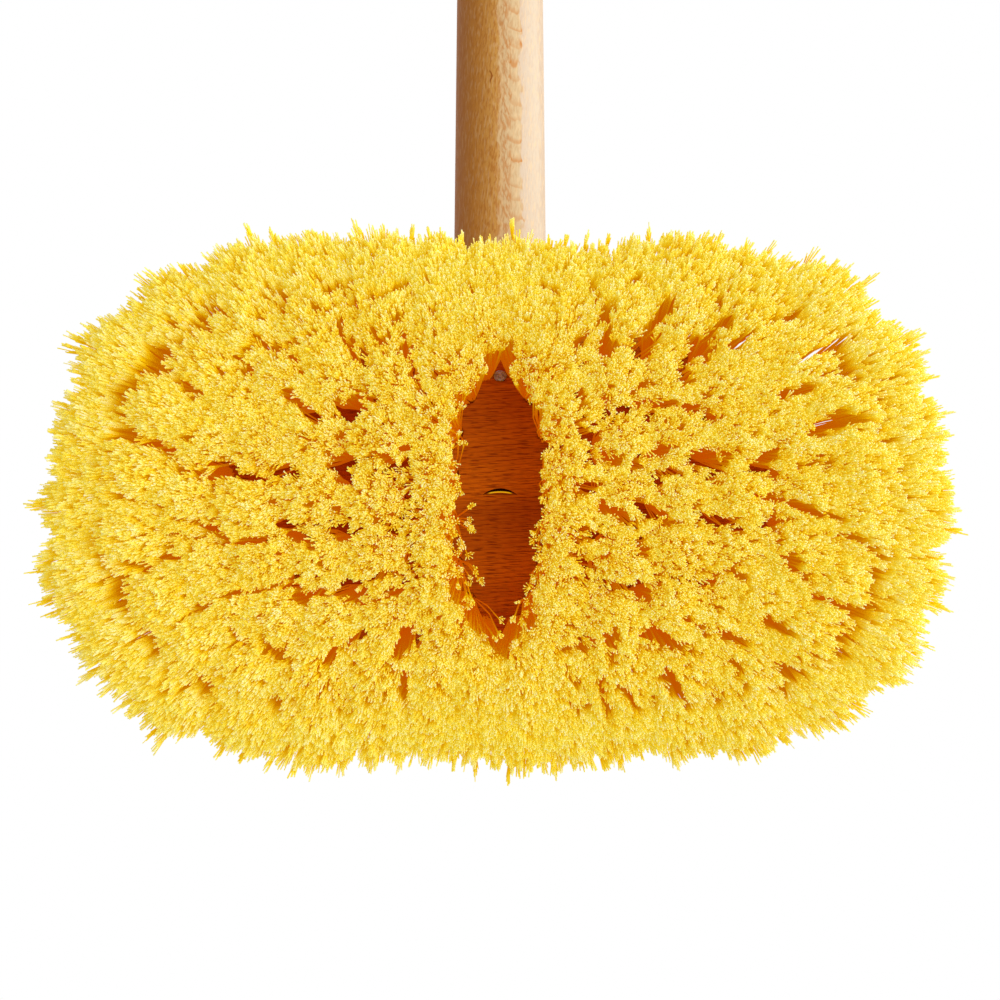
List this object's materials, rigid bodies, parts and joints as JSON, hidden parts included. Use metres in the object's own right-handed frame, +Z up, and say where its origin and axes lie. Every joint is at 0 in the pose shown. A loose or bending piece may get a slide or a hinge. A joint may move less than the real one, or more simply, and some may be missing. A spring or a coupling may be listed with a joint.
{
  "type": "deck brush",
  "caption": "Deck brush: oval wooden block with long soft flared bristles around an open centre, and a straight handle set in at an angle.",
  "frame": {"origin": "centre of the block's flat underside, in the open middle of the bristles", "axes": "+Z up, away from the bristles; X along the block; the handle rises towards +Y"},
  "size_m": [0.2302, 0.9294, 0.9256],
  "materials": {
    "block_beech": "satin",
    "handle_beech": "satin",
    "nail_steel": "satin",
    "bristle": "matt, split ends"
  },
  "bodies": {
    "root": {"block": "block_beech", "handle": "handle_beech", "handle_nail": "nail_steel", "bristles_centre_left": "bristle", "bristles_centre_right": "bristle", "bristles_row_c_left": "bristle", "bristles_row_c_right": "bristle", "bristles_row_d_left": "bristle", "bristles_row_d_right": "bristle", "bristles_row_e_left": "bristle", "bristles_row_e_right": "bristle", "bristles_row_f_left": "bristle", "bristles_row_f_right": "bristle", "bristles_row_g_left": "bristle", "bristles_row_g_right": "bristle", "bristles_inner_ring_handle_side": "bristle", "bristles_inner_ring_far_side": "bristle", "bristles_inner_ring_left": "bristle", "bristles_inner_ring_right": "bristle", "bristles_outer_ring_handle_side": "bristle", "bristles_outer_ring_far_side": "bristle", "bristles_outer_ring_left": "bristle", "bristles_outer_ring_right": "bristle"}
  },
  "joints": []
}
